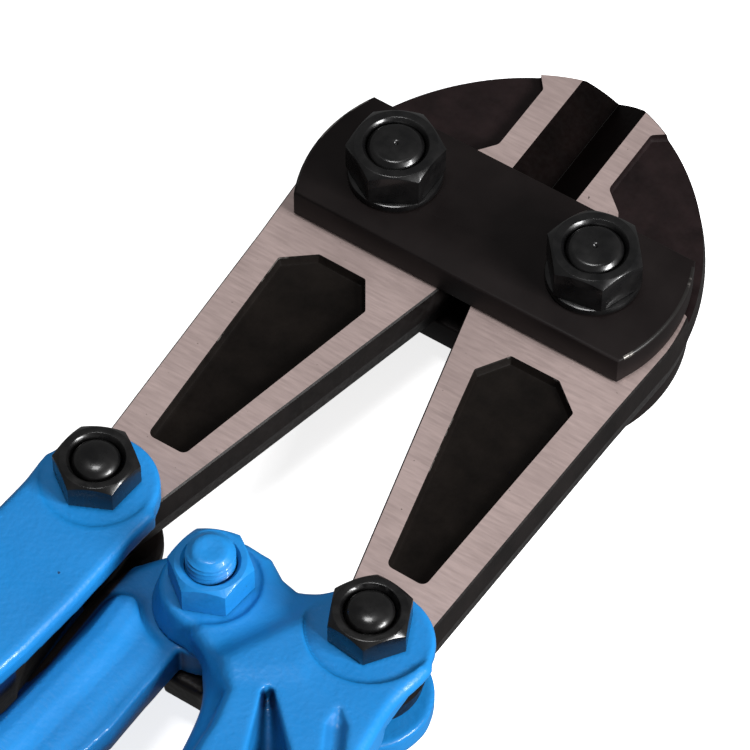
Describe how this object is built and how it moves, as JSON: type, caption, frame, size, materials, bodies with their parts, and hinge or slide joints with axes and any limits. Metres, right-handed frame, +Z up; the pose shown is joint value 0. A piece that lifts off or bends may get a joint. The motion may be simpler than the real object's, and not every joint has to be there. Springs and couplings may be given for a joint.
{
  "type": "bolt cutters",
  "caption": "Long-handled bolt cutters: hardened jaws between link plates, cast handle heads joined at a centre bolt, tube handles with rubber grips.",
  "frame": {"origin": "middle of the tool's bounding box on the plane it lies on", "axes": "+Y towards the cutting tips, +X to the jaw on the right when seen from above, +Z up from the surface it lies on"},
  "size_m": [0.1826, 0.6, 0.0428],
  "materials": {
    "link_plates": "black satin coated steel, worn bright at the end arcs",
    "jaws": "ground tool steel faces with black forged recesses and sides",
    "black_fasteners": "black oxide steel with an oily gloss",
    "painted_fasteners": "glossy azure blue paint over steel",
    "painted_castings": "glossy azure blue paint over cast iron",
    "painted_tubes": "glossy azure blue paint over steel tube",
    "grips": "matt black moulded rubber",
    "pins": "zinc plated steel"
  },
  "bodies": {
    "head": {"upper_link_plate": "link_plates", "lower_link_plate": "link_plates", "left_head_bolt": "black_fasteners", "right_head_bolt": "black_fasteners", "left_head_washer": "black_fasteners", "right_head_washer": "black_fasteners", "left_head_nut": "black_fasteners", "right_head_nut": "black_fasteners"},
    "left_jaw": {"left_jaw": "jaws"},
    "right_jaw": {"right_jaw": "jaws"},
    "left_handle": {"left_handle_casting": "painted_castings", "left_handle_tube": "painted_tubes", "left_grip": "grips", "left_tube_pin": "pins", "left_tail_bolt": "black_fasteners", "left_tail_nut": "black_fasteners"},
    "right_handle": {"right_handle_casting": "painted_castings", "right_handle_tube": "painted_tubes", "right_grip": "grips", "right_tube_pin": "pins", "right_tail_bolt": "black_fasteners", "right_tail_nut": "black_fasteners", "centre_bolt": "painted_fasteners", "centre_nut": "painted_fasteners"}
  },
  "joints": [
    {"name": "left_jaw_pivot", "type": "hinge", "parent": "head", "child": "left_jaw", "pos_m": [-0.024, 0.2494, 0.019], "axis": [0, 0, 1], "range_deg": [0, 5.5]},
    {"name": "right_jaw_pivot", "type": "hinge", "parent": "head", "child": "right_jaw", "pos_m": [0.024, 0.2494, 0.019], "axis": [0, 0, -1], "range_deg": [0, 5.5]},
    {"name": "left_handle_pivot", "type": "hinge", "parent": "left_jaw", "child": "left_handle", "pos_m": [-0.0322, 0.1538, 0.019], "axis": [0, 0, -1], "range_deg": [0, 40.5]},
    {"name": "right_handle_pivot", "type": "hinge", "parent": "right_jaw", "child": "right_handle", "pos_m": [0.0322, 0.1538, 0.019], "axis": [0, 0, 1], "range_deg": [0, 40.48]}
  ],
  "couplings": [
    {"joint": "left_handle_pivot", "follows": "right_handle_pivot", "ratio": 1},
    {"joint": "right_jaw_pivot", "follows": "right_handle_pivot", "ratio": 0.13538},
    {"joint": "left_jaw_pivot", "follows": "right_handle_pivot", "ratio": 0.13538}
  ]
}
